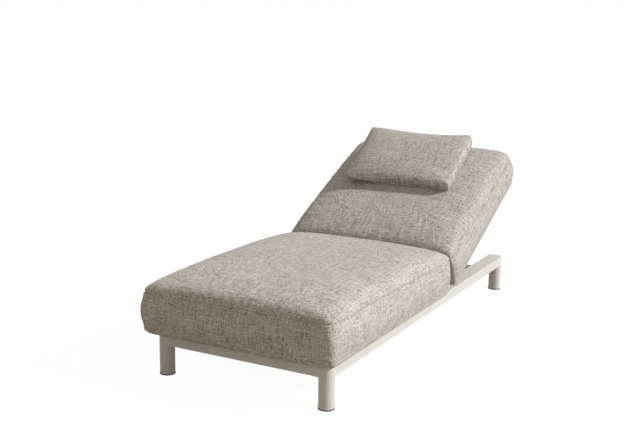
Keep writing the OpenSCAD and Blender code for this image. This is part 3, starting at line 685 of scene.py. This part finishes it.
    def build(self):
        index, faces = box_surface(self.xs, self.ys, self.levels)
        top = self.levels - 1
        points = [None] * len(index)
        for (i, j, k), n in index.items():
            x, y = self.xs[i], self.ys[j]
            on_rim = i in (0, len(self.xs) - 1) or j in (0, len(self.ys) - 1)
            if k == top and not on_rim:
                points[n] = self.top_point(x, y)
            elif k == 0 and not on_rim:
                points[n] = self.base_point(x, y)
            else:
                points[n] = self.side_point(x, y, k)
        self.index = index
        key_of = {n: key for key, n in index.items()}
        piece = mesh_object(self.name, points, faces)
        places = []
        for face in faces:
            keys = [key_of[n] for n in face]
            ks = {key[2] for key in keys}
            above = max(ks) > self.seam_level
            if ks == {top}:
                side = "top"
            elif ks == {0}:
                side = "base"
            elif len({key[0] for key in keys}) == 1:
                side = "x"
            else:
                side = "y"
            places += [self.cloth_place(key, side, above) for key in keys]
        set_weave(piece.data, places)
        return piece

    def loop(self, level):
        """The grid corners of a level, in order round the cushion."""
        nx, ny = len(self.xs) - 1, len(self.ys) - 1
        around = ([(i, 0) for i in range(nx)] + [(nx, j) for j in range(ny)]
                  + [(i, ny) for i in range(nx, 0, -1)] + [(0, j) for j in range(ny, 0, -1)])
        return [self.index[(i, j, level)] for i, j in around]

    def pins(self):
        """How firmly each corner is held while the stuffing swells the cover."""
        held = {}
        for (i, j, k), n in self.index.items():
            if k in (0, self.seam_level):
                held[n] = 1.0
            elif abs(k - self.seam_level) == 1:
                held[n] = 0.25
            elif j in (0, len(self.ys) - 1) and not self.open_end(self.ys[j]):
                held[n] = 0.5
        return held


def sink_seam(piece, loop, depth):
    """Pulls a line of the cover into the cushion, or out of it."""
    mesh = piece.data
    normals = [mesh.vertices[n].normal.copy() for n in loop]
    for n, normal in zip(loop, normals):
        mesh.vertices[n].co -= Vector((normal.x, normal.y, 0)).normalized() * depth


def wear(piece, seed):
    """Small soft hollows and ripples that a used cover shows."""
    offset = Vector((seed * 3.1, seed * 1.7, seed * 5.3))
    for vertex in piece.data.vertices:
        p = vertex.co
        if p.z < WORN_FROM:
            continue
        broad = noise.noise(p * 5.0 + offset)
        fine = noise.noise(Vector((p.x * 16, p.y * 16, p.z * 9)) + offset)
        vertex.co += vertex.normal * WEAR * (0.8 * broad + 0.35 * fine)


def walk(points, pitch):
    """Places at a steady pitch along a closed line, each with its direction."""
    line = points + points[:1]
    lengths = [(b - a).length for a, b in zip(line, line[1:])]
    count = int(sum(lengths) / pitch)
    pitch = sum(lengths) / count
    steps, done, part = [], 0.0, 0
    for n in range(count):
        goal = n * pitch
        while done + lengths[part] < goal:
            done += lengths[part]
            part += 1
        a, b = line[part], line[part + 1]
        steps.append((a.lerp(b, (goal - done) / lengths[part]), (b - a).normalized()))
    return steps


def stitches(name, piece, loop, pitch):
    """A row of thread stitches that lies on a piece along a loop of its corners."""
    mesh = piece.data
    sides, length = 5, pitch * 0.7
    rings = ((-0.5, 0.45), (-0.22, 1.0), (0.22, 1.0), (0.5, 0.45))
    points = [mesh.vertices[n].co + mesh.vertices[n].normal * THREAD * 0.3 for n in loop]
    middle = sum(points, Vector()) / len(points)
    corners, faces = [], []
    for place, along in walk(points, pitch):
        out = place - middle
        out = (out - along * out.dot(along)).normalized()
        side = along.cross(out)
        first = len(corners)
        for share, width in rings:
            sunk = 0 if width == 1.0 else THREAD * 0.5
            for turn in range(sides):
                angle = turn * math.tau / sides
                corners.append(place + along * share * length - out * sunk
                               + (out * math.cos(angle) + side * math.sin(angle)) * width * THREAD / 2)
        for ring in range(len(rings) - 1):
            for turn in range(sides):
                a, b = first + ring * sides + turn, first + ring * sides + (turn + 1) % sides
                faces.append((a, b, b + sides, a + sides))
        last = len(corners) - sides
        faces += [tuple(range(first + sides - 1, first - 1, -1)), tuple(range(last, last + sides))]
    row = mesh_object(name, corners, faces)
    set_weave(row.data, [corners[n] for face in faces for n in face])
    return row


def place_in(piece, origin, axes):
    """Moves a piece's mesh from its own frame into the model's frame."""
    turn = Matrix(axes).transposed().to_4x4()
    piece.data.transform(Matrix.Translation(origin) @ turn)
    piece.data.update()


def dress(piece, name, finish, body):
    """Gives a piece its material, which is made for the first piece that wears it."""
    made = bpy.data.materials.get(name) or finish(name, bpy.context.scene.lounger_weave)
    piece.data.materials.clear()
    piece.data.materials.append(made)
    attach(piece, body)


def cover(piece, node, body):
    """Makes a stuffed piece stand for a cover of the frame."""
    dress(piece, "mottled_weave", woven_cloth, body)
    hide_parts(node)


def make_cushion(name, body, origin, axes, ends, corners, fall, seed):
    """Builds, stuffs, seams and places one boxed cushion."""
    sizes = bpy.context.scene.lounger_cushions
    node = name + "_cover"
    spans = [extent(node, axis, origin) for axis in axes]
    cushion = BoxedCushion(name, sizes, spans, ends, corners, fall)
    piece = cushion.build()
    stuff(piece, cushion.pins(), sizes.pressure, sizes.slack, SWELL)
    seam, welt = cushion.loop(cushion.seam_level), cushion.loop(cushion.seam_level - 1)
    sink_seam(piece, seam, sizes.seam_depth)
    sink_seam(piece, welt, -sizes.welt)
    wear(piece, seed)
    row = stitches(name + "_stitching", piece, welt, sizes.stitch)
    smooth_more(piece)
    place = origin + axes[2] * spans[2][0]
    place += axes[0] * cushion.centre[0] + axes[1] * cushion.centre[1]
    place_in(piece, place, axes)
    place_in(row, place, axes)
    cover(piece, node, body)
    dress(row, "sewing_thread", thread, body)


class Lounger_OT_seat_cushion(bpy.types.Operator):
    """Make the seat cushion"""

    bl_idname = "lounger.seat_cushion"
    bl_label = "Seat cushion"

    def execute(self, context):
        sizes = context.scene.lounger_cushions
        make_cushion("seat_cushion", "base", Vector(), SEAT_AXES,
                     ends=(sizes.end_belly, sizes.belly),
                     corners=(0.016, (0.016, 0.016), (0.020, 0.032)), fall=SEAT_FALL, seed=1)
        return {"FINISHED"}


class Lounger_OT_back_cushion(bpy.types.Operator):
    """Make the back cushion"""

    bl_idname = "lounger.back_cushion"
    bl_label = "Back cushion"

    def execute(self, context):
        sizes = context.scene.lounger_cushions
        make_cushion("back_cushion", "back", BACK_FOOT, BACK_AXES,
                     ends=(sizes.belly, sizes.end_belly),
                     corners=(0.044, (0.016, 0.016), (0.016, 0.016)), fall=BACK_FALL, seed=2)
        return {"FINISHED"}


class BackTop:
    """The back cushion's top, which the pillow lies on, in the back's own axes."""

    def __init__(self, sizes):
        wide, long, high = [extent("back_cushion_cover", axis, BACK_FOOT) for axis in BACK_AXES]
        self.mid = (sum(wide) / 2, (long[0] + sizes.end_belly + long[1] - sizes.belly) / 2)
        self.half = ((wide[1] - wide[0]) / 2 - sizes.belly,
                     (long[1] - long[0] - sizes.end_belly - sizes.belly) / 2)
        self.crown = high[1]
        self.dome = dome_rise(high, sizes)
        self.bow = sizes.bow

    def clear_of(self, x, y):
        """Height over the crown that clears the top wherever the pillow slides."""
        tx = min(1.0, abs(x - self.mid[0]) / self.half[0])
        ty = min(1.0, max(0.0, abs(y - self.mid[1]) - PILLOW_TRAVEL) / self.half[1])
        fall = BACK_FALL * (y - self.mid[1] - PILLOW_TRAVEL) / (2 * self.half[1])
        return self.dome * (crown_share(tx, ty) - 1) - self.bow * (tx * ty) ** 2 - fall


class Lounger_OT_head_pillow(bpy.types.Operator):
    """Make the loose head pillow"""

    bl_idname = "lounger.head_pillow"
    bl_label = "Head pillow"

    width: bpy.props.FloatProperty(
        name="Width", description="Width between the corners", unit="LENGTH", default=0.568)
    length: bpy.props.FloatProperty(
        name="Height", description="Height along the back", unit="LENGTH", default=0.446)
    thick: bpy.props.FloatProperty(
        name="Thickness", description="Thickness over the back cushion", unit="LENGTH", default=0.092)
    turn: bpy.props.FloatProperty(
        name="Turn", description="How far the pillow is turned on the back", subtype="ANGLE",
        default=math.radians(2.7))
    tilt: bpy.props.FloatProperty(
        name="Tilt", description="How much higher its left corners lie", unit="LENGTH", default=0.038)
    rise: bpy.props.FloatProperty(
        name="Rise", description="How much higher its upper corners lie", unit="LENGTH", default=0.032)
    edge: bpy.props.FloatProperty(
        name="Edge", description="Height of the seam where the pillow is plump", unit="LENGTH",
        default=0.038)
    aside: bpy.props.FloatProperty(
        name="Aside", description="How far it lies left of the back's middle", unit="LENGTH",
        default=0.017)
    below: bpy.props.FloatProperty(
        name="Below", description="How far it lies below the back's upper end", unit="LENGTH",
        default=0.061)

    # Corner radii, left then right and each lower then upper, and how far the edges are drawn in
    RADII = ((0.052, 0.004), (0.010, 0.046))
    DRAWN_X = (0.008, -0.003)
    DRAWN_Y = (0.014, 0.030)

    def plump(self, x, y):
        """How full the edge is: 0 near the upper left corner, 1 along the lower and right edges."""
        low, right = 0.5 - y / self.length, 0.5 + x / self.width
        share = max(low * min(1.0, 0.35 + right), 0.90 * right * min(1.0, 0.9 + low))
        return eased(share, 0.45, 0.95)

    def point(self, back, x, y, upper):
        """Where a corner of the flat grid goes on the pillow's upper or under side."""
        hw, hl = self.width / 2, self.length / 2
        right, head = x > 0, y > 0
        x, y = round_corner(x, y, hw, hl, self.RADII[right][head])
        tx, ty = min(1.0, abs(x) / hw), min(1.0, abs(y) / hl)
        px = x * (1 - self.DRAWN_X[right] / hw * (1 - ty * ty))
        py = y * (1 - self.DRAWN_Y[head] / hl * (1 - tx * tx))
        plump = self.plump(px, py)
        full = (1 - tx ** 3) * (1 - ty ** 3)
        full += plump * (1 - max(tx, ty) ** 3 - full)
        seam = 0.4 * self.thick
        z = seam - px / self.width * self.tilt + py / self.length * self.rise
        lift = plump * max(0.0, self.edge - z)
        if upper:
            z += lift + (self.thick - seam - lift) * full ** (0.45 - 0.13 * plump)
        else:
            z += lift - self.thick * full ** (0.8 - 0.4 * plump)
        c, s = math.cos(self.turn), math.sin(self.turn)
        bx = back.mid[0] - self.aside + px * c - py * s
        by = back.mid[1] + back.half[1] - self.below - hl + px * s + py * c
        return bx, by, back.crown + max(z, back.clear_of(bx, by) + 0.0008)

    def execute(self, context):
        sizes = context.scene.lounger_cushions
        back = BackTop(sizes)
        step = sizes.step * 0.75
        xs, ys = [grid_lines(size / 2, step, 0.03, step / 2) for size in (self.width, self.length)]
        index, faces = box_surface(xs, ys, 2)
        points, pins = [None] * len(index), {}
        for (i, j, k), n in index.items():
            points[n] = self.point(back, xs[i], ys[j], k > 0)
            if i in (0, len(xs) - 1) or j in (0, len(ys) - 1):
                pins[n] = 0.8
            elif k == 0:
                pins[n] = 1.0
        piece = mesh_object("head_pillow", points, faces)
        flat = {n: (xs[i], ys[j], 11.0 + k) for (i, j, k), n in index.items()}
        set_weave(piece.data, [flat[n] for face in faces for n in face])
        stuff(piece, pins, sizes.pressure * 0.6, sizes.slack * 1.6, PILLOW_SWELL)
        smooth_more(piece)
        place_in(piece, BACK_FOOT, BACK_AXES)
        cover(piece, "head_pillow_cover", "pillow")
        return {"FINISHED"}


class Lounger_OT_frame(bpy.types.Operator):
    """Finish the frame's tubes, fittings and hidden stuffing"""

    bl_idname = "lounger.frame"
    bl_label = "Frame"

    def execute(self, context):
        sizes = context.scene.lounger_frame
        finishes = {
            "frame_paint": powder_coat("powder_coat", sizes.paint),
            "bare_aluminium": brushed("anodised_aluminium", (0.62, 0.62, 0.61), 0.38),
            "stainless_steel": brushed("stainless_steel", (0.55, 0.54, 0.52), 0.30),
            "dark_plastic": moulded("nylon", sizes.plastic, 0.55),
            "buffer_rubber": moulded("rubber", (0.36, 0.35, 0.33), 0.80, 1300.0),
            "foam": moulded("open_foam", (0.70, 0.64, 0.45), 0.95, 1100.0, 0.0006),
            "fibre_filling": moulded("loose_fibre", (0.75, 0.75, 0.72), 0.95, 300.0, 0.001),
        }
        slots = {row["node"]: row["material_slot"] for row in frame["record"]["subparts"]}
        for node, piece in frame["nodes"].items():
            finish = finishes.get(slots[node])
            if finish is None:
                continue
            piece.data.materials.clear()
            piece.data.materials.append(finish)
        return {"FINISHED"}


class Lounger_OT_stage(bpy.types.Operator):
    """Set the camera, the floor and the light"""

    bl_idname = "lounger.stage"
    bl_label = "Stage"

    def camera(self, context, stage):
        data = bpy.data.cameras.new("camera")
        data.sensor_width = 36
        data.lens = stage.lens
        data.clip_end = 100
        camera = bpy.data.objects.new("camera", data)
        ahead = Vector((-math.sin(stage.turn) * math.cos(stage.pitch),
                        math.cos(stage.turn) * math.cos(stage.pitch), -math.sin(stage.pitch)))
        right = Vector((math.cos(stage.turn), math.sin(stage.turn), 0))
        up = right.cross(ahead)
        c, s = math.cos(stage.roll), math.sin(stage.roll)
        turn = Matrix((c * right + s * up, -s * right + c * up, -ahead)).transposed()
        camera.matrix_world = Matrix.Translation(stage.place) @ turn.to_4x4()
        context.scene.collection.objects.link(camera)
        context.scene.camera = camera

    def floor(self, stage):
        half = 40.0
        floor = mesh_object("floor", [(-half, -half, 0), (half, -half, 0),
                                      (half, half, 0), (-half, half, 0)], [(0, 1, 2, 3)])
        made, g = material("white_floor")
        bounce = g.node("ShaderNodeBsdfDiffuse", None, {"Color": (0.42, 0.365, 0.30, 1)})
        faint = g.node("ShaderNodeBsdfDiffuse", None, {"Color": (stage.shadow,) * 3 + (1,)})
        glow = g.node("ShaderNodeEmission", None, {"Color": (1, 1, 1, 1), "Strength": 0.955})
        white = g.node("ShaderNodeAddShader", None, {0: faint, 1: glow})
        g.finish(g.node("ShaderNodeMixShader", None, {0: self.seen(g), 1: bounce, 2: white}))
        floor.data.materials.append(made)

    def seen(self, g):
        """1 for rays that show the background, from the camera or off gloss or through glass."""
        kinds = [g.node("ShaderNodeLightPath", None, None, name)
                 for name in ("Is Camera Ray", "Is Glossy Ray", "Is Transmission Ray")]
        total = kinds[0] + kinds[1] + kinds[2]
        return total > 0.5

    def execute(self, context):
        stage = context.scene.lounger_stage
        self.camera(context, stage)
        self.floor(stage)
        world = bpy.data.worlds.new("studio")
        context.scene.world = world
        g = Graph(world)
        seen = self.seen(g)
        sky = g.node("ShaderNodeBackground", None,
                     {"Color": (1.0, 0.925, 0.815, 1), "Strength": stage.sky})
        white = g.node("ShaderNodeBackground", None, {"Color": (1, 1, 1, 1), "Strength": 1.0})
        g.finish(g.node("ShaderNodeMixShader", None, {0: seen, 1: sky, 2: white}),
                 "ShaderNodeOutputWorld")
        sun = bpy.data.lights.new("key", "SUN")
        sun.energy = stage.key
        sun.angle = math.radians(3)
        sun.color = (0.985, 0.99, 1.0)
        lamp = bpy.data.objects.new("key", sun)
        lamp.rotation_euler = (-Vector(stage.key_from)).to_track_quat("-Z", "Y").to_euler()
        context.scene.collection.objects.link(lamp)
        context.scene.view_settings.view_transform = "Standard"
        return {"FINISHED"}


class Lounger_PT_panel(bpy.types.Panel):
    """The lounger's sizes, colours and pieces"""

    bl_idname = "LOUNGER_PT_panel"
    bl_label = "Lounger"
    bl_space_type = "VIEW_3D"
    bl_region_type = "UI"
    bl_category = "Lounger"

    def draw(self, context):
        for group in (context.scene.lounger_weave, context.scene.lounger_cushions,
                      context.scene.lounger_frame, context.scene.lounger_stage):
            box = self.layout.box()
            for name in group.bl_rna.properties.keys():
                if name not in ("rna_type", "name"):
                    box.prop(group, name)
        for operator in OPERATORS:
            self.layout.operator(operator.bl_idname)


GROUPS = {"lounger_weave": LoungerWeave, "lounger_cushions": LoungerCushions,
          "lounger_frame": LoungerFrame, "lounger_stage": LoungerStage}
OPERATORS = (Lounger_OT_stage, Lounger_OT_frame, Lounger_OT_seat_cushion,
             Lounger_OT_back_cushion, Lounger_OT_head_pillow)
CLASSES = (*GROUPS.values(), *OPERATORS, Lounger_PT_panel)


def register():
    for cls in CLASSES:
        bpy.utils.register_class(cls)
    for name, group in GROUPS.items():
        setattr(bpy.types.Scene, name, bpy.props.PointerProperty(type=group))


def unregister():
    for name in GROUPS:
        delattr(bpy.types.Scene, name)
    for cls in reversed(CLASSES):
        bpy.utils.unregister_class(cls)


def main():
    register()
    bpy.ops.lounger.stage()
    bpy.ops.lounger.frame()
    bpy.ops.lounger.seat_cushion()
    bpy.ops.lounger.back_cushion()
    bpy.ops.lounger.head_pillow()


if __name__ == "__main__":
    main()
